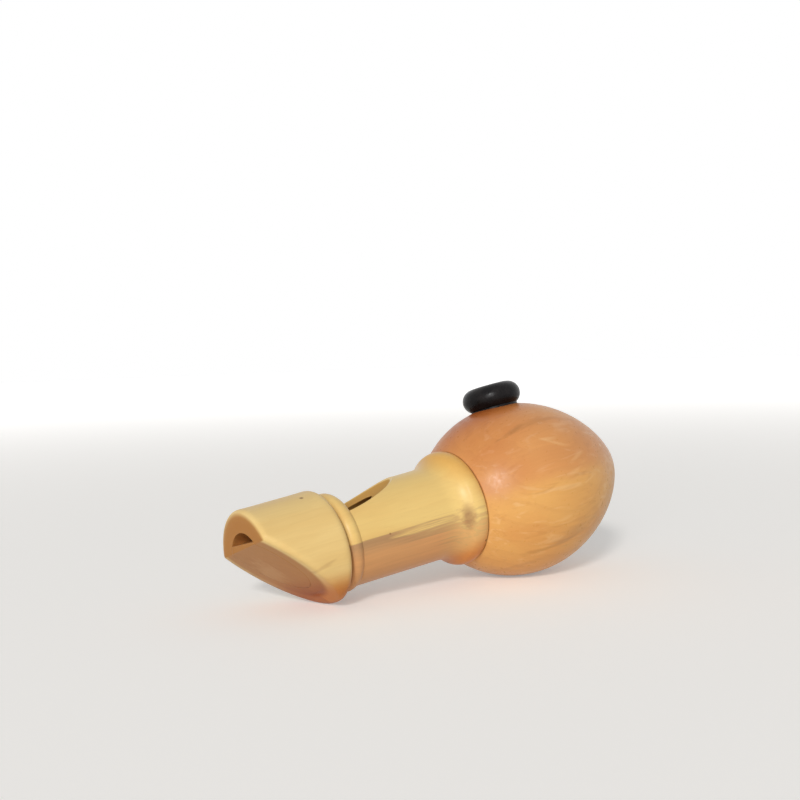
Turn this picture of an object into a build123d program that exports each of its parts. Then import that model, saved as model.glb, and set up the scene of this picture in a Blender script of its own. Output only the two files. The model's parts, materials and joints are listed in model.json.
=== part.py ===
from build123d import *

import math
import os

# A cuckoo call: a turned mouthpiece with a plug that leaves the windway above it, a barrel with the window,
# a hollow globe that is the resonator, and a rubber grommet round the finger hole.
# Millimetres. +Z is up and the floor is Z = 0. The call lies as it does when it is put down: on the globe
# and on the heel of the mouthpiece, turned a little about its own length. +X runs towards the globe's nose.
# Stations are counted along the call's own axis from the seam between barrel and globe, and heights from
# that axis towards the side that has the window and the finger hole.

# Mouthpiece, lengths counted from the seam towards the mouth
tip_reach = 59.0
rim_reach = 39.0
mouthpiece_radius = 13.8
tip_taper = 0.2
shoulder_rounding = 1.6
edge_rounding = 1.1

# Barrel: lengths, then radii and the steps between them
groove_width = 0.7
bead_width = 3.5
flare_reach = 9.4
collar_width = 3.6
front_tenon_length = 4.6
rear_tenon_length = 7.0
neck_radius = 11.45
neck_taper = 0.25
groove_depth = 0.45
bead_height = 0.7
collar_radius = 14.7
collar_front_drop = 0.6
collar_seam_drop = 0.4
seam_easing = 0.25
front_tenon_radius = 10.2
rear_tenon_radius = 11.2
bore_radius = 8.3

# Windway between plug and bore, and the beak cut below it
windway_entry = 2.7
windway_exit = 1.4
beak_lip = 1.1
heel_land = 0.75

# Window: the hollow left in the neck by a wheel with a rounded edge, deepest at the bead
window_depth = 6.45
window_slope = 9.1
wheel_radius = 54.0
wheel_edge_radius = 30.0

# Globe and its chamber
globe_length = 54.5
globe_radius = 22.55
widest_station = 20.0
nose_fullness = 0.85
nose_rounding = 2.5
globe_wall = 5.0
nose_wall = 8.5
chamber_start = 2.0

# Finger hole and grommet
finger_hole_station = 21.0
finger_hole_radius = 2.5
sleeve_wall = 1.9
seat_width = 1.8
seat_sink = 0.02
spot_face_margin = 0.3
flange_neck_height = 0.1
flange_reach = 3.35
flange_height = 6.4
mouth_rounding = 1.2
lip_reach = 1.2
lip_height = 1.5
lip_rounding = 0.6

# Fits
glue_gap = 0.05
socket_relief = 0.2
rubber_gap = 0.05
lip_clearance = 0.2

# Turn of the resting call about its own length, from window straight up
rest_roll = 12.5

# Stations and radii that follow from the sizes above
tip_station = -tip_reach
rim_station = -rim_reach
bead_front_station = rim_station + groove_width
window_station = bead_front_station + bead_width
bead_middle_station = bead_front_station + bead_width / 2
seam_radius = collar_radius - collar_seam_drop
tip_radius = mouthpiece_radius - tip_taper

# Heights at the tip: the windway's floor, and the beak cut one lip below it
floor_tip_height = bore_radius - windway_entry
floor_window_height = bore_radius - windway_exit
beak_tip_height = floor_tip_height - beak_lip
heel_reach = rim_reach + shoulder_rounding + heel_land
beak_slope = (beak_tip_height + mouthpiece_radius) / (tip_reach - heel_reach)

# The globe ahead of its widest place is one arc, square to the radius there
globe_rise = globe_radius - seam_radius
globe_front_curve = (widest_station**2 + globe_rise**2) / (2 * globe_rise)

# Pitch at which the globe and the heel of the rolled beak touch the floor together
roll = math.radians(rest_roll)
rolled_heel_reach = tip_reach - (beak_tip_height + mouthpiece_radius * math.cos(roll)) / beak_slope
reach_along = rolled_heel_reach + widest_station
reach_across = mouthpiece_radius + globe_front_curve - globe_radius
pitch = math.asin(globe_front_curve / math.hypot(reach_along, reach_across))
pitch -= math.atan2(reach_across, reach_along)

# Height of the seam over the floor, and its place along X that centres the whole call
seam_height = globe_front_curve - widest_station * math.sin(pitch)
seam_height -= (globe_front_curve - globe_radius) * math.cos(pitch)
mouth_reach = (tip_reach - edge_rounding) * math.cos(pitch)
mouth_reach += (tip_radius - edge_rounding) * math.sin(pitch) + edge_rounding
nose_reach = (globe_length - nose_rounding) * math.cos(pitch) + nose_rounding
seam_place = (mouth_reach - nose_reach) / 2

# The call's own frame: X along the axis towards the nose, Z out through the window
axis_direction = Vector(math.cos(pitch), 0, math.sin(pitch))
upright = Vector(-math.sin(pitch), 0, math.cos(pitch))
window_direction = upright * math.cos(roll) + Vector(0, 1, 0) * math.sin(roll)
call_frame = Plane(origin=(seam_place, 0, seam_height), x_dir=axis_direction, z_dir=window_direction)
call_axis = Axis(call_frame.origin, call_frame.x_dir)


def plane_in_call(station, height, base):
    """A plane of the call's own frame, moved to a station and a height."""
    return Plane(call_frame.location * Location((station, 0, height)) * base.location)


# Profiles are drawn on the half that faces the window, or on the half that faces away from it
window_half = plane_in_call(0, 0, Plane.XZ)
under_half = Plane(origin=call_frame.origin, x_dir=call_frame.x_dir, z_dir=call_frame.y_dir)
tip_plane = plane_in_call(tip_station, 0, Plane.YZ)
rim_plane = plane_in_call(rim_station, 0, Plane.YZ)
window_plane = plane_in_call(window_station, 0, Plane.YZ)

beak_angle = math.degrees(math.atan(beak_slope))
beak_plane = plane_in_call(tip_station, beak_tip_height, Plane.XY).rotated((0, beak_angle, 0))
floor_rise = (floor_window_height - floor_tip_height) / (window_station - tip_station)
floor_angle = math.degrees(math.atan(floor_rise))
windway_floor_plane = plane_in_call(tip_station, floor_tip_height, Plane.XY).rotated((0, -floor_angle, 0))

# Window cutter: the wheel's round edge turned about the wheel's axle, kept behind the bead
slope_at_bead = math.radians(window_slope)
wheel_station = window_station - wheel_radius * math.sin(slope_at_bead)
wheel_height = neck_radius - window_depth + wheel_radius * math.cos(slope_at_bead)
wheel_plane = plane_in_call(wheel_station, wheel_height, Plane.YZ)

with BuildPart() as window_wheel:
    with BuildSketch(wheel_plane):
        with Locations((0, wheel_edge_radius - wheel_radius)):
            Circle(wheel_edge_radius)
        below_axle = (Align.CENTER, Align.MAX)
        Rectangle(2 * wheel_radius, wheel_radius, align=below_axle, mode=Mode.INTERSECT)
    revolve(axis=Axis(wheel_plane.origin, call_frame.y_dir))
    split(bisect_by=window_plane, keep=Keep.TOP)

# Mouthpiece: turned, cut to a beak, bored for the plug and socketed for the barrel's front tenon
with BuildPart() as mouthpiece:
    with BuildSketch(window_half):
        with BuildLine():
            outside = Polyline(
                (rim_station, 0),
                (tip_station, 0),
                (tip_station, tip_radius),
                (rim_station - shoulder_rounding, mouthpiece_radius),
            )
            shoulder = RadiusArc(
                outside @ 1,
                (rim_station, mouthpiece_radius - shoulder_rounding),
                shoulder_rounding,
            )
            Line(shoulder @ 1, outside @ 0)
        make_face()
    revolve(axis=call_axis)
    split(bisect_by=beak_plane, keep=Keep.TOP)
    beak_face = mouthpiece.faces().filter_by(Axis(beak_plane.origin, beak_plane.z_dir))
    tip_face = mouthpiece.faces().filter_by(call_axis).sort_by(call_axis)[0]
    fillet(set(beak_face.edges() + tip_face.edges()), radius=edge_rounding)
    with BuildSketch(tip_plane):
        Circle(bore_radius)
    extrude(amount=tip_reach - rim_reach, mode=Mode.SUBTRACT)
    with BuildSketch(rim_plane):
        Circle(front_tenon_radius + glue_gap)
    extrude(amount=-(front_tenon_length + socket_relief), mode=Mode.SUBTRACT)
mouthpiece.part.label = "mouthpiece"

# Barrel: a tube with front tenon, groove, bead, neck, collar and rear tenon, cut for the window
with BuildPart() as barrel:
    with BuildSketch(under_half) as barrel_profile:
        with BuildLine():
            front_end = Polyline(
                (rear_tenon_length, bore_radius),
                (rim_station - front_tenon_length, bore_radius),
                (rim_station - front_tenon_length, front_tenon_radius),
                (rim_station, front_tenon_radius),
                (rim_station, neck_radius - groove_depth),
                (bead_front_station, neck_radius - groove_depth),
            )
            bead = ThreePointArc(
                front_end @ 1,
                (bead_middle_station, neck_radius + bead_height),
                (window_station, neck_radius),
            )
            neck = Line(bead @ 1, (-flare_reach, neck_radius + neck_taper))
            flare = TangentArc(neck @ 1, (-collar_width, collar_radius - collar_front_drop), tangent=(1, 0))
            collar = ThreePointArc(flare @ 1, (-collar_width / 2, collar_radius), (0, seam_radius))
            Polyline(
                collar @ 1,
                (0, rear_tenon_radius),
                (rear_tenon_length, rear_tenon_radius),
                (rear_tenon_length, bore_radius),
            )
        make_face()
        collar_corner = barrel_profile.vertices().group_by(Axis.X)[-2].sort_by(Axis.Y)[-1]
        chamfer(collar_corner, length=seam_easing)
    revolve(axis=call_axis)
    add(window_wheel.part, mode=Mode.SUBTRACT)
barrel.part.label = "barrel"

# Plug in the mouth end of the bore, with a sloping flat that is the windway's floor
with BuildPart() as fipple_plug:
    with BuildSketch(tip_plane):
        Circle(bore_radius - glue_gap)
    extrude(amount=window_station - tip_station)
    split(bisect_by=windway_floor_plane, keep=Keep.BOTTOM)
    split(bisect_by=beak_plane, keep=Keep.TOP)
fipple_plug.part.label = "fipple_plug"

# Globe: an egg with a pointed nose, hollowed through the socket that takes the barrel's rear tenon
nose_length = globe_length - widest_station


def globe_height(station):
    """Radius of the globe's outside at a station."""
    if station < widest_station:
        drop = math.sqrt(globe_front_curve**2 - (widest_station - station) ** 2)
        return globe_radius - globe_front_curve + drop
    share = (station - widest_station) / nose_length
    return globe_radius * (1 - share**2) ** nose_fullness


nose_points = []
for share in (0.25, 0.5, 0.7, 0.85):
    station = widest_station + share * nose_length
    nose_points.append((station, globe_height(station)))

# The nose ends in a small ball, met at the slope from the last of these points to the tip
nose_slope = math.atan2(nose_points[-1][1], globe_length - nose_points[-1][0])
ball_station = globe_length - nose_rounding
for share in (0, 0.35, 0.7):
    turn = nose_slope + share * (math.pi / 2 - nose_slope)
    ball_point = (ball_station + nose_rounding * math.sin(turn), nose_rounding * math.cos(turn))
    nose_points.append(ball_point)

chamber_radius = globe_radius - globe_wall
chamber_end = globe_length - nose_wall
chamber_station = (chamber_start + chamber_end) / 2
chamber_half_length = (chamber_end - chamber_start) / 2


def chamber_height(station):
    """Radius of the chamber's wall at a station."""
    share = (station - chamber_station) / chamber_half_length
    return chamber_radius * math.sqrt(1 - share**2)


def lowest_round_hole(height, reach):
    """Least height of a turned surface on a circle of that reach about the finger hole."""
    before = height(finger_hole_station - reach)
    after = height(finger_hole_station + reach)
    beside = math.sqrt(height(finger_hole_station) ** 2 - reach**2)
    return min(before, after, beside)


waist_radius = finger_hole_radius + sleeve_wall
seat_radius = waist_radius + seat_width
seat_height = lowest_round_hole(globe_height, seat_radius) - seat_sink
hole_start_height = globe_radius + spot_face_margin
hole_start_plane = plane_in_call(finger_hole_station, hole_start_height, Plane.XY)

with BuildPart() as resonator_globe:
    with BuildSketch(under_half) as globe_profile:
        with BuildLine():
            widest = (widest_station, globe_radius)
            front_curve = TangentArc(widest, (0, seam_radius), tangent=(-1, 0))
            nose_curve = Spline(widest, *nose_points, (globe_length, 0), tangents=((1, 0), (0, -1)))
            Polyline(nose_curve @ 1, (0, 0), front_curve @ 1)
        make_face()
        with Locations((chamber_station, 0)):
            Ellipse(chamber_half_length, chamber_radius, mode=Mode.SUBTRACT)
        socket_radius = rear_tenon_radius + glue_gap
        Rectangle(chamber_station, socket_radius, align=Align.MIN, mode=Mode.SUBTRACT)
        globe_corner = globe_profile.vertices().group_by(Axis.X)[0].sort_by(Axis.Y)[-1]
        chamfer(globe_corner, length=seam_easing)
    revolve(axis=call_axis)
    with BuildSketch(hole_start_plane):
        Circle(waist_radius + rubber_gap)
    extrude(amount=-hole_start_height, mode=Mode.SUBTRACT)
    with BuildSketch(hole_start_plane):
        Circle(seat_radius + spot_face_margin)
    extrude(amount=seat_height - hole_start_height, mode=Mode.SUBTRACT)
resonator_globe.part.label = "resonator_globe"

# Grommet: a fat ring outside, a sleeve through the wall and a lip inside the chamber
flange_radius = waist_radius + flange_reach
flange_bottom = seat_height + flange_neck_height
flange_top = flange_bottom + flange_height
edge_radius = flange_height / 2
edge_centre = flange_radius - edge_radius
flange_middle = flange_bottom + edge_radius
neck_top = flange_middle - math.sqrt(edge_radius**2 - (seat_radius - edge_centre) ** 2)
lip_radius = waist_radius + lip_reach
lip_top = lowest_round_hole(chamber_height, lip_radius) - lip_clearance
lip_bottom = lip_top - lip_height
hole_plane = plane_in_call(finger_hole_station, 0, Plane.XZ)

with BuildPart() as finger_hole_grommet:
    with BuildSketch(hole_plane) as grommet_profile:
        with BuildLine():
            inside = Polyline(
                (finger_hole_radius, flange_top),
                (finger_hole_radius, lip_bottom),
                (lip_radius, lip_bottom),
                (lip_radius, lip_top),
                (waist_radius, lip_top),
                (waist_radius, seat_height),
                (seat_radius, seat_height),
                (seat_radius, neck_top),
            )
            round_edge = ThreePointArc(
                inside @ 1, (flange_radius, flange_middle), (edge_centre, flange_top)
            )
            Line(round_edge @ 1, inside @ 0)
        make_face()
        hole_mouth = grommet_profile.vertices().group_by(Axis.Y)[-1].sort_by(Axis.X)[0]
        fillet(hole_mouth, radius=mouth_rounding)
        lip_corner = grommet_profile.vertices().group_by(Axis.Y)[0].sort_by(Axis.X)[-1]
        fillet(lip_corner, radius=lip_rounding)
    revolve(axis=Axis(hole_plane.origin, call_frame.z_dir))
finger_hole_grommet.part.label = "finger_hole_grommet"

os.makedirs("parts", exist_ok=True)
for piece in (mouthpiece, fipple_plug, barrel, resonator_globe, finger_hole_grommet):
    export_step(piece.part, f"parts/{piece.part.label}.step")
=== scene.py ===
"""A turned wooden cuckoo call, dressed for a still picture.

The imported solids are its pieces. They get grain, heartwood, wax and rubber here, a floor and light.
"""

import json
import logging
import math
from abc import ABC, abstractmethod
from dataclasses import dataclass, field
from enum import Enum

import bmesh
import bpy
from bpy.types import Material, NodeSocket, NodeTree, Object
from mathutils import Matrix, Vector

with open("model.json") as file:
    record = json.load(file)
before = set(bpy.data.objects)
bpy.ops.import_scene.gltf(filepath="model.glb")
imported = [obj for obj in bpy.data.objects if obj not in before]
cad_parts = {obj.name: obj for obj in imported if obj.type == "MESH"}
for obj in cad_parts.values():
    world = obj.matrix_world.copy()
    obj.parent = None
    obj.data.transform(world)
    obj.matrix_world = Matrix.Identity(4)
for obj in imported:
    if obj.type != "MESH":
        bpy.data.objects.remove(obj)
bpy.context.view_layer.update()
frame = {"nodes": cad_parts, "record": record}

log = logging.getLogger("cuckoo_call")

MM = 0.001
Colour = tuple[float, float, float, float]
Place = tuple[float, float, float]
Span = tuple[float, float]
WHITE: Colour = (1.0, 1.0, 1.0, 1.0)

# the inputs of a Mix node: its share, and the two values of each kind that it can mix
SHARE = 0
NUMBER_A, NUMBER_B = 2, 3
VECTOR_A, VECTOR_B = 4, 5
COLOUR_A, COLOUR_B = 6, 7

# settings that many nodes share
VECTOR_MIX: dict[str, object] = {"out": 1, "data_type": "VECTOR"}
COLOUR_MIX: dict[str, object] = {"out": 2, "data_type": "RGBA"}
SMOOTH: dict[str, object] = {"interpolation_type": "SMOOTHSTEP"}

# between which values a noise lies: nearly always, mostly, or half of the time
NEARLY_ALWAYS = {"From Min": 0.2, "From Max": 0.8}
MOSTLY = {"From Min": 0.3, "From Max": 0.7}
HALF_THE_TIME = {"From Min": 0.35, "From Max": 0.65}

# Blender's ring pattern repeats every so many units
RING_PERIOD = math.pi / 10


class Node(str, Enum):
    """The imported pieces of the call."""

    MOUTHPIECE = "mouthpiece"
    PLUG = "fipple_plug"
    BARREL = "barrel"
    GLOBE = "resonator_globe"
    GROMMET = "finger_hole_grommet"


class Blend(str, Enum):
    """How a layer meets the colour below it."""

    PAINT = "MIX"
    STAIN = "MULTIPLY"


class Side(float, Enum):
    """Which side of the call a mark lies on, seen from where the call is looked at."""

    NEAR = -1.0
    FAR = 1.0


class Stretch(float, Enum):
    """How wide the wood's own patterns are across the grain, for a length of 1 along it."""

    BEND = 0.6
    CLOUD = 0.18
    PORE = 0.16
    RING = 0.12
    FIBRE = 0.035


class Kind(str, Enum):
    """The kinds of shader node in use."""

    BACKGROUND = "ShaderNodeBackground"
    BEVEL = "ShaderNodeBevel"
    BUMP = "ShaderNodeBump"
    COORDINATES = "ShaderNodeTexCoord"
    GEOMETRY = "ShaderNodeNewGeometry"
    JOIN = "ShaderNodeCombineXYZ"
    MATERIAL = "ShaderNodeOutputMaterial"
    MATHS = "ShaderNodeMath"
    MIX = "ShaderNodeMix"
    NOISE = "ShaderNodeTexNoise"
    PRINCIPLED = "ShaderNodeBsdfPrincipled"
    RANGE = "ShaderNodeMapRange"
    RAY = "ShaderNodeLightPath"
    SPACE = "ShaderNodeMapping"
    SPLIT = "ShaderNodeSeparateXYZ"
    VECTOR = "ShaderNodeVectorMath"
    WAVE = "ShaderNodeTexWave"
    WORLD = "ShaderNodeOutputWorld"


@dataclass(frozen=True)
class CallSpace:
    """The call's own space: X towards the nose, Y to the far side, Z out through the finger hole.

    Stations are millimetres along X, counted from the seam between barrel and globe.
    """

    seam: Vector
    axes: Matrix

    @classmethod
    def from_mounts(cls, neck_station: float = -13.0) -> "CallSpace":
        """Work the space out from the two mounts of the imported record.

        Args:
            neck_station: Where the middle of the lanyard's neck lies, in millimetres.

        Returns:
            The call's space.
        """
        mounts = {mount["name"]: mount for mount in frame["record"]["mounts"]}
        nose = -Vector(mounts["lanyard_neck"]["axis"])
        out = Vector(mounts["finger_hole"]["axis"])
        seam = Vector(mounts["lanyard_neck"]["pos_m"]) - nose * (neck_station * MM)
        return cls(seam, Matrix((nose, out.cross(nose), out)).transposed())


CALL = CallSpace.from_mounts()


def linear(hex_colour: str) -> Colour:
    """Turn an sRGB hex colour into the linear values that shaders take.

    Args:
        hex_colour: Six hex digits, with or without the leading sign.

    Returns:
        Linear red, green and blue, and an alpha of 1.
    """
    digits = hex_colour.lstrip("#")
    shares = [int(digits[i : i + 2], 16) / 255 for i in (0, 2, 4)]
    # the sRGB curve: a straight toe, then a power
    lit = [s / 12.92 if s <= 0.04045 else ((s + 0.055) / 1.055) ** 2.4 for s in shares]
    return (lit[0], lit[1], lit[2], 1.0)


def per_mm(along: float, across: float) -> Place:
    """The scale of a pattern that is so many millimetres along the grain and across it."""
    return (1 / along, 1 / across, 1 / across)


class Wiring:
    """A node tree while it is being wired."""

    def __init__(self, tree: NodeTree) -> None:
        """Start from an empty tree."""
        self.tree = tree
        tree.nodes.clear()

    def add(
        self,
        kind: Kind,
        wires: dict[int | str, object] | None = None,
        out: int | str = 0,
        **settings: object,
    ) -> NodeSocket | None:
        """Add a node, set it and wire it.

        Args:
            kind: The kind of node.
            wires: What goes into each input: another node's output, or a plain value.
            out: The output to hand on.
            **settings: The node's own settings.

        Returns:
            The chosen output, or nothing where the node has none.
        """
        node = self.tree.nodes.new(kind.value)
        for name, value in settings.items():
            setattr(node, name, value)
        for key, value in (wires or {}).items():
            socket = node.inputs[key]
            if isinstance(value, NodeSocket):
                self.tree.links.new(value, socket)
            else:
                socket.default_value = value
        return node.outputs[out] if node.outputs else None


class Bench(Wiring):
    """The wiring of one material, with the call's millimetre space at hand."""

    def __init__(self, name: str) -> None:
        """Start an empty material and lay out the space that its patterns are drawn in.

        Args:
            name: Name of the material.
        """
        self.material: Material = bpy.data.materials.new(name)
        self.material.use_nodes = True
        super().__init__(self.material.node_tree)
        self.place = self.add(
            Kind.SPACE,
            {
                "Vector": self.add(Kind.COORDINATES, out="Object"),
                "Location": CALL.seam,
                "Rotation": CALL.axes.to_euler(),
                "Scale": (MM, MM, MM),
            },
            vector_type="TEXTURE",
        )
        axes = self.add(Kind.SPLIT, {0: self.place}).node.outputs
        self.station, self.across, self.height = axes["X"], axes["Y"], axes["Z"]
        flat = self.add(Kind.VECTOR, {0: self.place, 1: (0, 1, 1)}, operation="MULTIPLY")
        self.radius = self.add(Kind.VECTOR, {0: flat}, out="Value", operation="LENGTH")


@dataclass(frozen=True, kw_only=True)
class Layer(ABC):
    """Something that changes a wood's colour over part of it.

    Places and sizes are millimetres in the call's space.
    """

    hex_colour: str
    strength: float = 1.0
    blend: Blend = Blend.PAINT

    @abstractmethod
    def share(self, bench: Bench) -> NodeSocket:
        """How much of the layer shows at each place, from 0 to 1."""

    def paint(self, bench: Bench) -> NodeSocket | Colour:
        """The layer's own colour."""
        return linear(self.hex_colour)

    def over(self, bench: Bench, colour: NodeSocket) -> NodeSocket:
        """Lay the layer over a colour.

        Args:
            bench: The material's nodes.
            colour: The colour below it.

        Returns:
            The colour of both together.
        """
        share = bench.add(
            Kind.MATHS, {0: self.share(bench), 1: self.strength}, operation="MULTIPLY"
        )
        return bench.add(
            Kind.MIX,
            {SHARE: share, COLOUR_A: colour, COLOUR_B: self.paint(bench)},
            blend_type=self.blend.value,
            **COLOUR_MIX,
        )


@dataclass(frozen=True, kw_only=True)
class Heartwood(Layer):
    """Brown heartwood below a plane along the axis.

    Its boundary is crisp at the mouth end and runs out in streaks at the collar.
    """

    hex_colour: str = "#B48C62"
    deep_and_bounce_hex: str = "#D69E68"
    deep: float = 4.5
    lean: float = 0.095
    crisp: float = 0.7
    streaky: float = 6.5
    crisp_station: float = -29.0
    streaky_station: float = -6.0
    wander_mm: Span = (25.0, 0.909)
    wander_gain: float = 3.0
    wander_bias: float = -1.85
    fading_station: float = -13.0
    faded_station: float = -4.0
    faded_share: float = 0.6
    line_mm: Span = (20.0, 0.625)
    line_tone: float = 0.035

    def _depth(self, bench: Bench) -> tuple[NodeSocket, NodeSocket]:
        """How deep below the ragged boundary each place is, and how soft the boundary is there."""
        soft = bench.add(
            Kind.RANGE,
            {
                "Value": bench.station,
                "From Min": self.crisp_station,
                "From Max": self.streaky_station,
                "To Min": self.crisp,
                "To Max": self.streaky,
            },
        )
        grain = bench.add(Kind.SPACE, {"Vector": bench.place, "Scale": per_mm(*self.wander_mm)})
        wander = bench.add(
            Kind.NOISE, {"Vector": grain, "Scale": 1.0, "Detail": 4.0, "Roughness": 0.6}
        )
        sway = bench.add(
            Kind.MATHS,
            {0: wander, 1: self.wander_gain, 2: self.wander_bias},
            operation="MULTIPLY_ADD",
        )
        level = bench.add(
            Kind.MATHS, {0: bench.across, 1: -self.lean, 2: bench.height}, operation="MULTIPLY_ADD"
        )
        level = bench.add(Kind.MATHS, {0: level, 1: -1.0}, operation="MULTIPLY")
        depth = bench.add(Kind.MATHS, {0: sway, 1: soft, 2: level}, operation="MULTIPLY_ADD")
        return depth, soft

    def share(self, bench: Bench) -> NodeSocket:
        """All of it below the boundary, less towards the collar."""
        depth, soft = self._depth(bench)
        half = bench.add(Kind.MATHS, {0: soft, 1: 0.5}, operation="MULTIPLY")
        below = bench.add(Kind.MATHS, {0: half, 1: -1.0}, operation="MULTIPLY")
        inside = bench.add(
            Kind.RANGE, {"Value": depth, "From Min": below, "From Max": half}, **SMOOTH
        )
        fade = bench.add(
            Kind.RANGE,
            {
                "Value": bench.station,
                "From Min": self.fading_station,
                "From Max": self.faded_station,
                "To Min": 1.0,
                "To Max": self.faded_share,
            },
        )
        return bench.add(Kind.MATHS, {0: inside, 1: fade}, operation="MULTIPLY")

    def paint(self, bench: Bench) -> NodeSocket:
        """Greyish along the boundary and redder and lighter below it, partly painted warm light
        reflected from the floor, with fine lines along the grain.
        """
        depth, _ = self._depth(bench)
        # deeper below the boundary, towards the underside, the brown turns lighter and redder:
        # painted light reflected from the floor
        inside = bench.add(Kind.RANGE, {"Value": depth, "From Max": self.deep}, **SMOOTH)
        brown = bench.add(
            Kind.MIX,
            {
                SHARE: inside,
                COLOUR_A: linear(self.hex_colour),
                COLOUR_B: linear(self.deep_and_bounce_hex),
            },
            **COLOUR_MIX,
        )
        fine = bench.add(Kind.SPACE, {"Vector": bench.place, "Scale": per_mm(*self.line_mm)})
        lines = bench.add(Kind.NOISE, {"Vector": fine, "Scale": 1.0, "Detail": 3.0})
        lines = bench.add(
            Kind.RANGE,
            {
                "Value": lines,
                **HALF_THE_TIME,
                "To Min": 1 - self.line_tone,
                "To Max": 1 + self.line_tone,
            },
        )
        return bench.add(
            Kind.MIX,
            {SHARE: 1.0, COLOUR_A: brown, COLOUR_B: lines},
            blend_type="MULTIPLY",
            **COLOUR_MIX,
        )


@dataclass(frozen=True, kw_only=True)
class Streak(Layer):
    """A bowed streak along the grain, with ragged edges."""

    station: float
    height: float
    half_length: float
    half_width: float
    slope: float = 0.0
    bow: float = 0.0
    ragged: float = 0.7
    ragged_mm: Span = (8.333, 1.429)
    fade: Span = (0.2, 1.3)
    side: Side = Side.NEAR

    def _reach(self, bench: Bench) -> NodeSocket:
        """How far out each place lies: 0 along the middle line, 1 at the streak's half sizes."""
        along = bench.add(Kind.MATHS, {0: bench.station, 1: self.station}, operation="SUBTRACT")
        rise = bench.add(
            Kind.MATHS, {0: along, 1: self.bow, 2: self.slope}, operation="MULTIPLY_ADD"
        )
        line = bench.add(
            Kind.MATHS, {0: along, 1: rise, 2: self.height}, operation="MULTIPLY_ADD"
        )
        off = bench.add(Kind.MATHS, {0: bench.height, 1: line}, operation="SUBTRACT")
        both = bench.add(
            Kind.JOIN,
            {
                0: bench.add(Kind.MATHS, {0: off, 1: self.half_width}, operation="DIVIDE"),
                1: bench.add(Kind.MATHS, {0: along, 1: self.half_length}, operation="DIVIDE"),
            },
        )
        return bench.add(Kind.VECTOR, {0: both}, out="Value", operation="LENGTH")

    def share(self, bench: Bench) -> NodeSocket:
        """All of it along the middle line, fading out across it and at the ends."""
        grain = bench.add(Kind.SPACE, {"Vector": bench.place, "Scale": per_mm(*self.ragged_mm)})
        ragged = bench.add(Kind.NOISE, {"Vector": grain, "Scale": 1.0, "Detail": 4.0})
        ragged = bench.add(
            Kind.RANGE,
            {
                "Value": ragged,
                **NEARLY_ALWAYS,
                "To Min": 1 - self.ragged,
                "To Max": 1 + self.ragged,
            },
        )
        reach = bench.add(Kind.MATHS, {0: self._reach(bench), 1: ragged}, operation="MULTIPLY")
        share = bench.add(
            Kind.RANGE,
            {"Value": reach, "From Min": self.fade[1], "From Max": self.fade[0]},
            **SMOOTH,
        )
        this_side = bench.add(
            Kind.MATHS, {0: bench.across, 1: self.side.value}, operation="MULTIPLY"
        )
        this_side = bench.add(Kind.MATHS, {0: this_side, 1: 0.0}, operation="GREATER_THAN")
        return bench.add(Kind.MATHS, {0: share, 1: this_side}, operation="MULTIPLY")


@dataclass(frozen=True, kw_only=True)
class Curls(Layer):
    """Short wavy strokes along the grain, where it turns and takes the light another way."""

    length: float
    width: float
    sparse: float = 0.56
    soft: float = 0.2
    twist: float = 1.2

    def share(self, bench: Bench) -> NodeSocket:
        """All of it along the middle of each stroke."""
        grain = bench.add(
            Kind.SPACE, {"Vector": bench.place, "Scale": per_mm(self.length, self.width)}
        )
        strokes = bench.add(
            Kind.NOISE, {"Vector": grain, "Scale": 1.0, "Detail": 2.0, "Distortion": self.twist}
        )
        return bench.add(
            Kind.RANGE,
            {"Value": strokes, "From Min": self.sparse, "From Max": self.sparse + self.soft},
            **SMOOTH,
        )


@dataclass(frozen=True, kw_only=True)
class Zone(Layer):
    """A part of the wood to one side of a wandering plane that is another tone."""

    blend: Blend = Blend.STAIN
    toward: Place
    level: float
    fade: float
    sway: float = 0.0
    sway_mm: Span = (20.0, 9.091)

    def share(self, bench: Bench) -> NodeSocket:
        """All of it beyond the plane."""
        grain = bench.add(Kind.SPACE, {"Vector": bench.place, "Scale": per_mm(*self.sway_mm)})
        wander = bench.add(Kind.NOISE, {"Vector": grain, "Scale": 1.0, "Detail": 4.0})
        shift = bench.add(
            Kind.MATHS, {0: wander, 1: 2 * self.sway, 2: -self.sway}, operation="MULTIPLY_ADD"
        )
        level = bench.add(
            Kind.VECTOR, {0: bench.place, 1: self.toward}, out="Value", operation="DOT_PRODUCT"
        )
        level = bench.add(Kind.MATHS, {0: level, 1: shift}, operation="ADD")
        return bench.add(
            Kind.RANGE,
            {
                "Value": level,
                "From Min": self.level - self.fade,
                "From Max": self.level + self.fade,
            },
            **SMOOTH,
        )


@dataclass(frozen=True, kw_only=True)
class CutFace(Layer):
    """Wood laid open below the turned skin: darker, because its fibres end there."""

    skin_radius: float
    fade: float

    def share(self, bench: Bench) -> NodeSocket:
        """All of it where the surface is nearer the axis than the skin."""
        return bench.add(
            Kind.RANGE,
            {
                "Value": bench.radius,
                "From Min": self.skin_radius,
                "From Max": self.skin_radius - self.fade,
            },
            **SMOOTH,
        )


@dataclass(frozen=True, kw_only=True)
class EndGrain(Layer):
    """A face across the axis, where the wood's cut ends soak up more wax, up to its rubbed rim.

    How squarely the face looks along the axis is a cosine.
    """

    rim_radius: float = 13.5
    fade: float = 1.7
    square: Span = (0.8, 0.97)

    def share(self, bench: Bench) -> NodeSocket:
        """All of it where the surface looks along the axis."""
        facing = bench.add(
            Kind.VECTOR,
            {0: bench.add(Kind.GEOMETRY, out="True Normal"), 1: CALL.axes.col[0]},
            out="Value",
            operation="DOT_PRODUCT",
        )
        facing = bench.add(Kind.MATHS, {0: facing}, operation="ABSOLUTE")
        facing = bench.add(
            Kind.RANGE,
            {"Value": facing, "From Min": self.square[0], "From Max": self.square[1]},
            **SMOOTH,
        )
        inside = bench.add(
            Kind.RANGE,
            {
                "Value": bench.radius,
                "From Min": self.rim_radius,
                "From Max": self.rim_radius - self.fade,
            },
            **SMOOTH,
        )
        return bench.add(Kind.MATHS, {0: facing, 1: inside}, operation="MULTIPLY")


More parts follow.
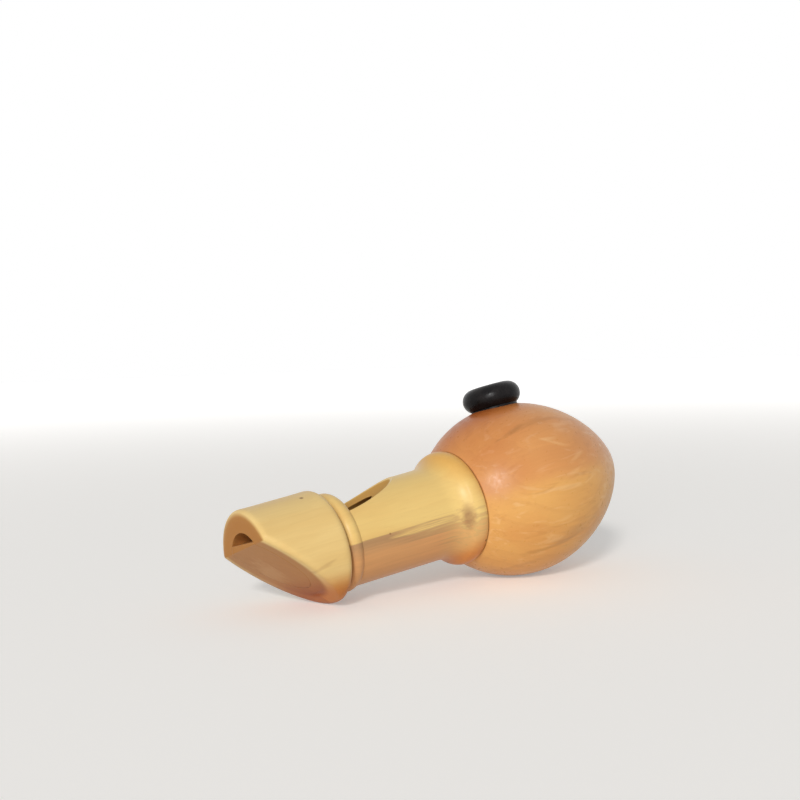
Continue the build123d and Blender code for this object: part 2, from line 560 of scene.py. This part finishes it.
@dataclass(frozen=True, kw_only=True)
class DirtLine(Layer):
    """Wax and dirt caught in a turned groove or a seam, as a thin dark ring."""

    station: float
    half_width: float
    core: float = 0.3
    patch_mm: float = 2.222
    patches: Span = (0.3, 0.6)
    least: float = 0.5

    def share(self, bench: Bench) -> NodeSocket:
        """All of it at the ring's station, patchy round the ring."""
        off = bench.add(Kind.MATHS, {0: bench.station, 1: self.station}, operation="SUBTRACT")
        off = bench.add(Kind.MATHS, {0: off}, operation="ABSOLUTE")
        patchy = bench.add(
            Kind.NOISE, {"Vector": bench.place, "Scale": 1 / self.patch_mm, "Detail": 3.0}
        )
        patchy = bench.add(
            Kind.RANGE,
            {
                "Value": patchy,
                "From Min": self.patches[0],
                "From Max": self.patches[1],
                "To Min": self.least,
                "To Max": 1.0,
            },
        )
        return bench.add(
            Kind.RANGE,
            {
                "Value": off,
                "From Min": self.half_width,
                "From Max": self.core * self.half_width,
                "To Max": patchy,
            },
            **SMOOTH,
        )


@dataclass(frozen=True, kw_only=True)
class Pip(Layer):
    """A small knot, fleck or stain in the skin."""

    place: Place
    radius: float
    core: float = 0.2

    def share(self, bench: Bench) -> NodeSocket:
        """All of it at the middle of the knot."""
        off = bench.add(
            Kind.VECTOR, {0: bench.place, 1: self.place}, out="Value", operation="DISTANCE"
        )
        return bench.add(
            Kind.RANGE,
            {"Value": off, "From Min": self.radius, "From Max": self.core * self.radius},
            **SMOOTH,
        )


@dataclass(frozen=True, kw_only=True)
class TurnedWood:
    """A close-grained hardwood, turned, sanded and waxed.

    To the eye: soft clouds of tone, faint growth rings, fine fibres along the axis, short pores
    and a satin gloss.
    """

    name: str
    pale_hex: str
    warm_hex: str
    ring_hex: str
    layers: tuple[Layer, ...] = ()
    pith: Span = (26.0, -34.0)
    ring_mm: float = 2.1
    ring_strength: float = 0.09
    ring_wobble: float = 5.0
    late_wood: Span = (0.45, 1.0)
    cloud_mm: float = 9.0
    curl_mm: float = 0.6
    fibre_mm: float = 0.45
    fibre_tone: float = 0.018
    fibre_relief: float = 0.2
    fibre_relief_mm: float = 0.03
    pore_mm: float = 0.5
    pore_limits: Span = (0.64, 0.74)
    pore_strength: float = 0.07
    pore_sink: float = 6.5
    roughness: float = 0.4
    patchy: float = 0.025
    patch_mm: float = 1.111
    ior: float = 1.5
    specular: float = 0.13
    tooth: float = 0.08
    tooth_mm: float = 0.5882
    tooth_relief_mm: float = 0.04
    edge_mm: float = 0.3
    edge_radius: float = 0.0
    edge_samples: int = 8
    waxed_radius: float = 0.0
    bare_roughness: float = 0.8

    def build(self) -> Material:
        """Wire the wood's material.

        Returns:
            The finished material.
        """
        bench = Bench(self.name)
        grain = self._grain(bench)
        fibres = self._fibres(bench, grain)
        pores = self._pores(bench, grain)
        colour = self._figure(bench, grain, fibres, pores)
        for layer in self.layers:
            colour = layer.over(bench, colour)
        skin = bench.add(
            Kind.PRINCIPLED,
            {
                "Base Color": colour,
                "Roughness": self._gloss(bench),
                "IOR": self.ior,
                "Specular IOR Level": self.specular,
                "Normal": self._relief(bench, fibres, pores),
            },
        )
        bench.add(Kind.MATERIAL, {"Surface": skin})
        return bench.material

    def _grain(self, bench: Bench) -> NodeSocket:
        """The call's space, bent to and fro so that lines along the grain wander."""
        slow = bench.add(
            Kind.SPACE, {"Vector": bench.place, "Scale": (Stretch.BEND.value, 1.0, 1.0)}
        )
        bend = bench.add(
            Kind.NOISE, {"Vector": slow, "Scale": 1 / self.cloud_mm, "Detail": 1.0}, out="Color"
        )
        bend = bench.add(Kind.VECTOR, {0: bend, 1: (0.5, 0.5, 0.5)}, operation="SUBTRACT")
        reach = (0.0, 2 * self.curl_mm, 2 * self.curl_mm)
        return bench.add(
            Kind.VECTOR, {0: bend, 1: reach, 2: bench.place}, operation="MULTIPLY_ADD"
        )

    def _fibres(self, bench: Bench, grain: NodeSocket) -> NodeSocket:
        """Fine lines along the grain, drawn coarser than real fibres so that they show."""
        along = bench.add(
            Kind.SPACE, {"Vector": grain, "Scale": (Stretch.FIBRE.value, 1.0, 1.0)}
        )
        return bench.add(
            Kind.NOISE,
            {"Vector": along, "Scale": 1 / self.fibre_mm, "Detail": 3.0, "Roughness": 0.6},
        )

    def _pores(self, bench: Bench, grain: NodeSocket) -> NodeSocket:
        """Short dark pores along the grain, 1 where there is one."""
        along = bench.add(
            Kind.SPACE, {"Vector": grain, "Scale": (Stretch.PORE.value, 1.0, 1.0)}
        )
        dots = bench.add(
            Kind.NOISE, {"Vector": along, "Scale": 1 / self.pore_mm, "Detail": 2.0}
        )
        return bench.add(
            Kind.RANGE,
            {"Value": dots, "From Min": self.pore_limits[0], "From Max": self.pore_limits[1]},
            **SMOOTH,
        )

    def _clouds(self, bench: Bench, grain: NodeSocket) -> NodeSocket:
        """The wood's two tones in soft clouds along the grain."""
        along = bench.add(
            Kind.SPACE, {"Vector": grain, "Scale": (Stretch.CLOUD.value, 1.0, 1.0)}
        )
        clouds = bench.add(
            Kind.NOISE,
            {"Vector": along, "Scale": 1 / self.cloud_mm, "Detail": 4.0, "Roughness": 0.55},
        )
        clouds = bench.add(Kind.RANGE, {"Value": clouds, **HALF_THE_TIME}, **SMOOTH)
        return bench.add(
            Kind.MIX,
            {SHARE: clouds, COLOUR_A: linear(self.pale_hex), COLOUR_B: linear(self.warm_hex)},
            **COLOUR_MIX,
        )

    def _late_wood(self, bench: Bench, grain: NodeSocket) -> NodeSocket:
        """How much of the darker late wood each growth ring shows."""
        about_pith = bench.add(
            Kind.SPACE,
            {
                "Vector": grain,
                "Location": (0, -self.pith[0], -self.pith[1]),
                "Scale": (Stretch.RING.value, 1.0, 1.0),
            },
        )
        rings = bench.add(
            Kind.WAVE,
            {
                "Vector": about_pith,
                "Scale": RING_PERIOD / self.ring_mm,
                "Distortion": self.ring_wobble,
                "Detail": 3.0,
                "Detail Scale": 0.9,
            },
            wave_type="RINGS",
            rings_direction="X",
            wave_profile="SAW",
        )
        return bench.add(
            Kind.RANGE,
            {
                "Value": rings,
                "From Min": self.late_wood[0],
                "From Max": self.late_wood[1],
                "To Max": self.ring_strength,
            },
            **SMOOTH,
        )

    def _figure(
        self, bench: Bench, grain: NodeSocket, fibres: NodeSocket, pores: NodeSocket
    ) -> NodeSocket:
        """Mix the wood's colour.

        Args:
            bench: The material's nodes.
            grain: The bent space of the grain.
            fibres: Lines along the grain.
            pores: Where the pores are.

        Returns:
            The colour before any layer.
        """
        dark = linear(self.ring_hex)
        colour = bench.add(
            Kind.MIX,
            {
                SHARE: self._late_wood(bench, grain),
                COLOUR_A: self._clouds(bench, grain),
                COLOUR_B: dark,
            },
            **COLOUR_MIX,
        )
        shade = bench.add(
            Kind.RANGE,
            {
                "Value": fibres,
                **MOSTLY,
                "To Min": 1 - self.fibre_tone,
                "To Max": 1 + self.fibre_tone,
            },
        )
        colour = bench.add(
            Kind.MIX,
            {SHARE: 1.0, COLOUR_A: colour, COLOUR_B: shade},
            blend_type="MULTIPLY",
            **COLOUR_MIX,
        )
        share = bench.add(Kind.MATHS, {0: pores, 1: self.pore_strength}, operation="MULTIPLY")
        return bench.add(
            Kind.MIX, {SHARE: share, COLOUR_A: colour, COLOUR_B: dark}, **COLOUR_MIX
        )

    def _gloss(self, bench: Bench) -> NodeSocket:
        """How rough each place is: patchy wax on the turned skin, bare wood where it is cut."""
        wax = bench.add(
            Kind.NOISE, {"Vector": bench.place, "Scale": 1 / self.patch_mm, "Detail": 5.0}
        )
        waxed = bench.add(
            Kind.RANGE,
            {
                "Value": wax,
                **MOSTLY,
                "To Min": self.roughness - self.patchy,
                "To Max": self.roughness + self.patchy,
            },
        )
        bare = bench.add(
            Kind.MATHS, {0: bench.radius, 1: self.waxed_radius}, operation="LESS_THAN"
        )
        return bench.add(
            Kind.MIX, {SHARE: bare, NUMBER_A: waxed, NUMBER_B: self.bare_roughness}
        )

    def _relief(self, bench: Bench, fibres: NodeSocket, pores: NodeSocket) -> NodeSocket:
        """Bend the surface's normal: rubbed edges, fibres, sunk pores and a fine tooth.

        Args:
            bench: The material's nodes.
            fibres: Lines along the grain.
            pores: Where the pores are.

        Returns:
            The normal.
        """
        # edges further out than edge_radius are rubbed round; the others stay as cut
        outside = bench.add(
            Kind.MATHS, {0: bench.radius, 1: self.edge_radius}, operation="GREATER_THAN"
        )
        rubbed = bench.add(
            Kind.MIX,
            {
                SHARE: outside,
                VECTOR_A: bench.add(Kind.GEOMETRY, out="Normal"),
                VECTOR_B: bench.add(
                    Kind.BEVEL, {"Radius": self.edge_mm * MM}, samples=self.edge_samples
                ),
            },
            **VECTOR_MIX,
        )
        sunk = bench.add(
            Kind.MATHS,
            {0: pores, 1: -self.pore_sink * self.pore_strength, 2: fibres},
            operation="MULTIPLY_ADD",
        )
        lined = bench.add(
            Kind.BUMP,
            {
                "Strength": self.fibre_relief,
                "Distance": self.fibre_relief_mm * MM,
                "Height": sunk,
                "Normal": rubbed,
            },
        )
        speckle = bench.add(
            Kind.NOISE, {"Vector": bench.place, "Scale": 1 / self.tooth_mm, "Detail": 3.0}
        )
        return bench.add(
            Kind.BUMP,
            {
                "Strength": self.tooth,
                "Distance": self.tooth_relief_mm * MM,
                "Height": speckle,
                "Normal": lined,
            },
        )


@dataclass(frozen=True, kw_only=True)
class MouldedRubber:
    """Black natural rubber from a mould.

    To the eye: satin, a little dusty, with a fine tooth that blunts the highlight.
    """

    name: str = "moulded_black_rubber"
    black_hex: str = "#110F10"
    dust_hex: str = "#2A2625"
    dust_mm: float = 2.857
    dusty: Span = (0.45, 0.75)
    most_dust: float = 0.5
    roughness: float = 0.28
    patchy: float = 0.12
    ior: float = 1.52
    specular: float = 0.13
    tooth: float = 0.4
    tooth_mm: float = 0.625
    tooth_relief_mm: float = 0.06

    def build(self) -> Material:
        """Wire the rubber's material.

        Returns:
            The finished material.
        """
        bench = Bench(self.name)
        dust = bench.add(
            Kind.NOISE, {"Vector": bench.place, "Scale": 1 / self.dust_mm, "Detail": 5.0}
        )
        dust = bench.add(
            Kind.RANGE,
            {
                "Value": dust,
                "From Min": self.dusty[0],
                "From Max": self.dusty[1],
                "To Max": self.most_dust,
            },
        )
        colour = bench.add(
            Kind.MIX,
            {SHARE: dust, COLOUR_A: linear(self.black_hex), COLOUR_B: linear(self.dust_hex)},
            **COLOUR_MIX,
        )
        tooth = bench.add(
            Kind.NOISE, {"Vector": bench.place, "Scale": 1 / self.tooth_mm, "Detail": 4.0}
        )
        gloss = bench.add(
            Kind.RANGE,
            {
                "Value": tooth,
                **MOSTLY,
                "To Min": self.roughness - self.patchy,
                "To Max": self.roughness + self.patchy,
            },
        )
        relief = bench.add(
            Kind.BUMP,
            {"Strength": self.tooth, "Distance": self.tooth_relief_mm * MM, "Height": tooth},
        )
        skin = bench.add(
            Kind.PRINCIPLED,
            {
                "Base Color": colour,
                "Roughness": gloss,
                "IOR": self.ior,
                "Specular IOR Level": self.specular,
                "Normal": relief,
            },
        )
        bench.add(Kind.MATERIAL, {"Surface": skin})
        return bench.material


def dress(node: Node, material: Material) -> None:
    """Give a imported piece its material.

    Args:
        node: The piece.
        material: What it is made of.
    """
    piece: Object = frame["nodes"][node.value]
    piece.material_slots[0].material = material
    log.info("%s: %s", node.value, material.name)


@dataclass
class Mouthpiece:
    """The beaked end that is blown into, with the plug in its bore."""

    skin_radius: float = 12.0
    rim_station: float = -39.0
    pip_place: Place = (-44.4, -6.1, 12.35)
    slit_place: Place = (-54.6, 0.0, 6.9)
    slit_shade_radius: float = 4.3
    rubbed_mm: float = 1.8
    rubbed_radius: float = 10.0
    roughness: float = 0.36
    specular: float = 0.14
    cut_hex: str = "#B57C42"

    def dress(self) -> None:
        """Give the turned end and its plug their woods."""
        dress(Node.MOUTHPIECE, self._turned().build())
        dress(Node.PLUG, self._sawn().build())

    def _end_marks(self) -> tuple[Layer, ...]:
        """What runs over both pieces: end grain, painted shade inside the slit and a heel with
        painted shade and reflected floor light.
        """
        return (
            EndGrain(hex_colour="#B3762F", strength=0.95),
            # painted shade inside the windway slit
            Pip(
                hex_colour="#4A2A1C",
                place=self.slit_place,
                radius=self.slit_shade_radius,
                strength=0.7,
            ),
            # painted shade and reflected floor light: redder and darker under the heel
            Zone(hex_colour="#DDA67A", toward=(0, 0, -1), level=8.0, fade=3.4, sway=1.5),
        )

    def _turned(self) -> TurnedWood:
        """The pale wood of the turned end, darker where the beak is cut."""
        return TurnedWood(
            name="turned_pale_boxwood",
            pale_hex="#EBCB88",
            warm_hex="#E6C27E",
            ring_hex="#C99A5C",
            ring_strength=0.05,
            roughness=self.roughness,
            specular=self.specular,
            edge_mm=self.rubbed_mm,
            edge_radius=self.rubbed_radius,
            layers=(
                Streak(
                    hex_colour="#C9A068", station=-46.5, height=-3.9, half_length=4.5,
                    half_width=0.5, slope=0.3, strength=0.45,
                ),
                # the beak cut's far edge: its sanded wood, redder with painted warm light reflected
                # from the floor
                Streak(
                    hex_colour="#BE8854", station=-50.2, height=-4.65, half_length=14.0,
                    half_width=2.0, slope=-1.037, ragged=0.3, strength=0.85, side=Side.FAR,
                ),
                Pip(hex_colour="#7E5034", place=self.pip_place, radius=0.7, strength=0.85),
                DirtLine(
                    hex_colour="#8A6138", station=self.rim_station, half_width=0.35, strength=0.6
                ),
                CutFace(
                    hex_colour=self.cut_hex, skin_radius=self.skin_radius, fade=1.5, strength=0.94
                ),
                *self._end_marks(),
            ),
        )

    def _sawn(self) -> TurnedWood:
        """The plug's wood, of the same tone as the beak's cut."""
        return TurnedWood(
            name="sawn_plug_boxwood",
            pale_hex="#B98147",
            warm_hex=self.cut_hex,
            ring_hex="#A56E3A",
            roughness=self.roughness,
            specular=self.specular,
            layers=(
                Streak(
                    hex_colour="#D0A270", station=-52.2, height=-2.6, half_length=3.6,
                    half_width=0.6, slope=-1.04, strength=0.4, side=Side.FAR,
                ),
                *self._end_marks(),
            ),
        )


@dataclass
class Barrel:
    """The turned tube with the window, half sapwood and half heartwood."""

    skin_radius: float = 11.3
    wax_depth: float = 0.1
    groove_station: float = -38.65
    seam_station: float = 0.0

    def dress(self) -> None:
        """Give the barrel its two-toned wood."""
        wood = TurnedWood(
            name="turned_two_tone_boxwood",
            pale_hex="#EBC97F",
            warm_hex="#E6BF76",
            ring_hex="#C99A5C",
            ring_strength=0.06,
            roughness=0.3,
            specular=0.15,
            waxed_radius=self.skin_radius - self.wax_depth,
            layers=(
                CutFace(
                    hex_colour="#CD994E", skin_radius=self.skin_radius, fade=0.35, strength=0.9
                ),
                Heartwood(),
                Streak(
                    hex_colour="#8A5C46", station=-5.0, height=-2.8, half_length=1.6,
                    half_width=3.3, ragged=0.2, strength=0.6,
                ),
                # painted shade and reflected floor light: warmer and darker on the underside
                Zone(
                    hex_colour="#F4C8A4", toward=(0.25, 0, -1), level=9.5, fade=2.5, sway=1.5,
                    strength=0.95,
                ),
                # painted shade: darker and warmer on top of the collar, by the globe
                Zone(
                    hex_colour="#F3DAB6", toward=(0.7, 0, 0.7), level=2.6, fade=3.6, sway=1.0,
                    strength=0.9,
                ),
                Pip(hex_colour="#7A5338", place=(-27.0, -11.5, -1.3), radius=0.4, strength=0.7),
                DirtLine(
                    hex_colour="#7A5432", station=self.groove_station, half_width=0.5, strength=0.5
                ),
                DirtLine(
                    hex_colour="#6B4226", station=self.seam_station, half_width=0.22, strength=0.6
                ),
                Pip(hex_colour="#4A2A18", place=(-0.6, -10.8, -9.7), radius=0.5, strength=0.8),
            ),
        )
        dress(Node.BARREL, wood.build())


@dataclass
class Globe:
    """The hollow egg that resonates."""

    seam_station: float = 0.0
    highlight_shade_place: Place = (3.7, -16.5, 5.7)
    highlight_shade_radius: float = 12.0
    fleck_places: tuple[Place, ...] = ((39.3, -15.6, 5.2), (45.4, -11.3, 2.6))

    def dress(self) -> None:
        """Give the globe its honey-coloured wood."""
        wood = TurnedWood(
            name="turned_honey_boxwood",
            pale_hex="#E3AA61",
            warm_hex="#DB9C57",
            ring_hex="#C3854C",
            ring_mm=4.2,
            ring_strength=0.12,
            cloud_mm=14.0,
            curl_mm=3.0,
            pore_strength=0.04,
            roughness=0.34,
            patchy=0.085,
            tooth=0.16,
            specular=0.25,
            layers=(*self._tones(), *self._figure(), *self._marks()),
        )
        dress(Node.GLOBE, wood.build())

    def _tones(self) -> tuple[Layer, ...]:
        """Curly figure all over, and painted shade: the globe darker and redder towards the finger
        hole at the top.
        """
        return (
            Curls(hex_colour="#F4CE98", length=13.0, width=2.6, strength=0.28),
            Curls(hex_colour="#C28247", length=16.0, width=2.0, strength=0.24),
            # painted shade: darker and redder towards the top
            Zone(
                hex_colour="#DCAE82", toward=(-0.35, 0, 1), level=12.5, fade=7.0, sway=2.0,
                strength=0.85,
            ),
            Zone(
                hex_colour="#C48C56", toward=(-0.15, 0, 1), level=19.0, fade=3.5, strength=0.9
            ),
            # painted shadow: the upper half a little darker and pinker
            Zone(hex_colour="#F9F1FF", toward=(0, 0, 1), level=1.5, fade=3.0, sway=7.0),
        )

    def _figure(self) -> tuple[Layer, ...]:
        """Single dark and pale lines, each over the ones before it."""
        names = (
            "hex_colour", "station", "height", "half_length", "half_width", "slope", "bow",
            "strength",
        )
        rows = (
            ("#A8703C", 21.0, 15.6, 11.0, 0.9, 0.0, -0.0137, 0.32),
            ("#A06A3A", 12.6, 14.5, 2.6, 0.7, 0.25, 0.0, 0.4),
            ("#A8703C", 15.5, -15.9, 9.5, 0.6, 0.06, 0.012, 0.34),
            ("#B67C46", 9.0, -18.6, 6.0, 0.6, 0.04, 0.0, 0.25),
            ("#B48A5E", 22.0, -13.8, 6.0, 1.6, 0.22, 0.0, 0.35),
            ("#EFC48A", 20.8, 9.0, 5.0, 0.6, -0.5, 0.03, 0.26),
            ("#B97C46", 12.0, -1.9, 6.0, 0.45, 0.0, 0.05, 0.22),
            ("#B97C46", 24.5, -0.2, 5.5, 0.45, 0.08, 0.0, 0.18),
            ("#F0C68E", 19.5, 10.4, 3.4, 0.6, -0.12, 0.03, 0.24),
            ("#F0C68E", 23.0, 0.8, 4.0, 0.6, 0.22, 0.03, 0.24),
            ("#F0C68E", 25.5, 4.2, 3.4, 0.55, 0.3, 0.0, 0.22),
            ("#F0C68E", 10.3, -0.6, 3.8, 0.55, -0.4, 0.05, 0.24),
        )
        return tuple(Streak(**dict(zip(names, row))) for row in rows)

    def _marks(self) -> tuple[Layer, ...]:
        """Painted pinkish shade round the highlight, pale flecks at the nose and dirt in the seam."""
        # painted shade: darker and pinker round the globe's highlight, where the lamps light it most
        highlight_shade = Pip(
            hex_colour="#E8D6CE",
            place=self.highlight_shade_place,
            radius=self.highlight_shade_radius,
            strength=0.5,
            blend=Blend.STAIN,
        )
        flecks = (
            Pip(hex_colour="#F1CFA0", place=place, radius=0.9, strength=0.5)
            for place in self.fleck_places
        )
        seam = DirtLine(
            hex_colour="#6B3F22", station=self.seam_station, half_width=0.22, strength=0.6
        )
        return (highlight_shade, *flecks, seam)


@dataclass
class Grommet:
    """The rubber ring round the finger hole."""

    rubber: MouldedRubber = field(default_factory=MouldedRubber)

    def dress(self) -> None:
        """Give the ring its rubber."""
        dress(Node.GROMMET, self.rubber.build())


@dataclass(frozen=True, kw_only=True)
class Lamp:
    """A round soft lamp that looks at the call."""

    name: str
    toward: Place
    watts: float
    width_m: float


@dataclass
class Studio:
    """A plain pale floor that fades into white, soft light from beside the viewer, and a camera."""

    floor_half_m: float = 3.0
    floor_hex: str = "#F1EEE9"
    floor_roughness: float = 0.8
    near_lift: float = 0.25
    far_lift: float = 0.75
    fading_m: Span = (0.1, 1.5)
    fill: float = 0.27
    lamp_distance_m: float = 5.0
    lamps: tuple[Lamp, ...] = (
        Lamp(name="key", toward=(-0.66, -0.69, 0.25), watts=86.0, width_m=2.7),
        Lamp(name="spark", toward=(-0.62, -0.64, 0.45), watts=112.0, width_m=0.75),
    )
    lens_mm: float = 53.6
    near_clip_m: float = 0.01
    eye_mm: Place = (-174.9, -244.9, 60.0)
    pan_deg: float = -32.95
    tilt_deg: float = -3.82
    tip_deg: float = -1.66
    shift: Span = (0.0152, 0.0377)

    def build(self) -> None:
        """Make floor, light, sky and camera."""
        self._floor()
        self._sky()
        for lamp in self.lamps:
            self._hang(lamp)
        self._camera()
        bpy.context.scene.view_settings.view_transform = "Standard"

    def _seen(self, wiring: Wiring) -> NodeSocket:
        """1 for what the viewer sees, straight or mirrored, and 0 for light on the call."""
        rays = wiring.add(Kind.RAY).node.outputs
        seen = rays["Is Camera Ray"]
        for name in ("Is Glossy Ray", "Is Transmission Ray"):
            seen = wiring.add(Kind.MATHS, {0: seen, 1: rays[name]}, operation="MAXIMUM")
        return seen

    def _matt(self) -> Material:
        """The floor's material: matt and pale, and seen as white far from the call.

        Returns:
            The finished material.
        """
        material = bpy.data.materials.new("matt_pale_floor")
        material.use_nodes = True
        wiring = Wiring(material.node_tree)
        spot = wiring.add(Kind.COORDINATES, out="Object")
        lift = wiring.add(
            Kind.RANGE,
            {
                "Value": wiring.add(Kind.VECTOR, {0: spot}, out="Value", operation="LENGTH"),
                "From Min": self.fading_m[0],
                "From Max": self.fading_m[1],
                "To Min": self.near_lift,
                "To Max": self.far_lift,
            },
            **SMOOTH,
        )
        lift = wiring.add(Kind.MATHS, {0: self._seen(wiring), 1: lift}, operation="MULTIPLY")
        skin = wiring.add(
            Kind.PRINCIPLED,
            {
                "Base Color": linear(self.floor_hex),
                "Roughness": self.floor_roughness,
                "Emission Color": WHITE,
                "Emission Strength": lift,
            },
        )
        wiring.add(Kind.MATERIAL, {"Surface": skin})
        return material

    def _floor(self) -> None:
        """Lay the floor at the height that the call stands on."""
        mesh = bpy.data.meshes.new("floor")
        shape = bmesh.new()
        bmesh.ops.create_grid(shape, x_segments=1, y_segments=1, size=self.floor_half_m)
        shape.to_mesh(mesh)
        shape.free()
        mesh.materials.append(self._matt())
        floor = bpy.data.objects.new("floor", mesh)
        bpy.context.scene.collection.objects.link(floor)

    def _sky(self) -> None:
        """Light the call evenly from all round, and show white behind it and in its gloss."""
        world = bpy.data.worlds.new("studio")
        bpy.context.scene.world = world
        world.use_nodes = True
        wiring = Wiring(world.node_tree)
        level = wiring.add(
            Kind.RANGE, {"Value": self._seen(wiring), "To Min": self.fill, "To Max": 1.0}
        )
        white = wiring.add(Kind.BACKGROUND, {"Color": WHITE, "Strength": level})
        wiring.add(Kind.WORLD, {"Surface": white})

    def _hang(self, lamp: Lamp) -> None:
        """Hang a lamp and turn it to the call.

        Args:
            lamp: The lamp.
        """
        data = bpy.data.lights.new(lamp.name, "AREA")
        data.shape = "DISK"
        data.size = lamp.width_m
        data.energy = lamp.watts
        hung = bpy.data.objects.new(lamp.name, data)
        toward = Vector(lamp.toward).normalized()
        hung.location = toward * self.lamp_distance_m
        hung.rotation_euler = toward.to_track_quat("Z", "Y").to_euler()
        bpy.context.scene.collection.objects.link(hung)

    def _camera(self) -> None:
        """Set the camera where the viewer stands."""
        data = bpy.data.cameras.new("viewer")
        data.lens = self.lens_mm
        data.shift_x, data.shift_y = self.shift
        data.clip_start = self.near_clip_m
        camera = bpy.data.objects.new("viewer", data)
        pan = Matrix.Rotation(math.radians(self.pan_deg), 4, "Z")
        # a camera that isn't turned looks straight down
        tilt = Matrix.Rotation(math.radians(90 + self.tilt_deg), 4, "X")
        tip = Matrix.Rotation(math.radians(self.tip_deg), 4, "Z")
        eye = Matrix.Translation(Vector(self.eye_mm) * MM)
        camera.matrix_world = eye @ pan @ tilt @ tip
        bpy.context.scene.collection.objects.link(camera)
        bpy.context.scene.camera = camera


def main() -> None:
    """Dress the call piece by piece and set up the studio."""
    logging.basicConfig(level=logging.INFO)
    for part in (Mouthpiece(), Barrel(), Globe(), Grommet()):
        part.dress()
    Studio().build()


if __name__ == "__main__":
    main()
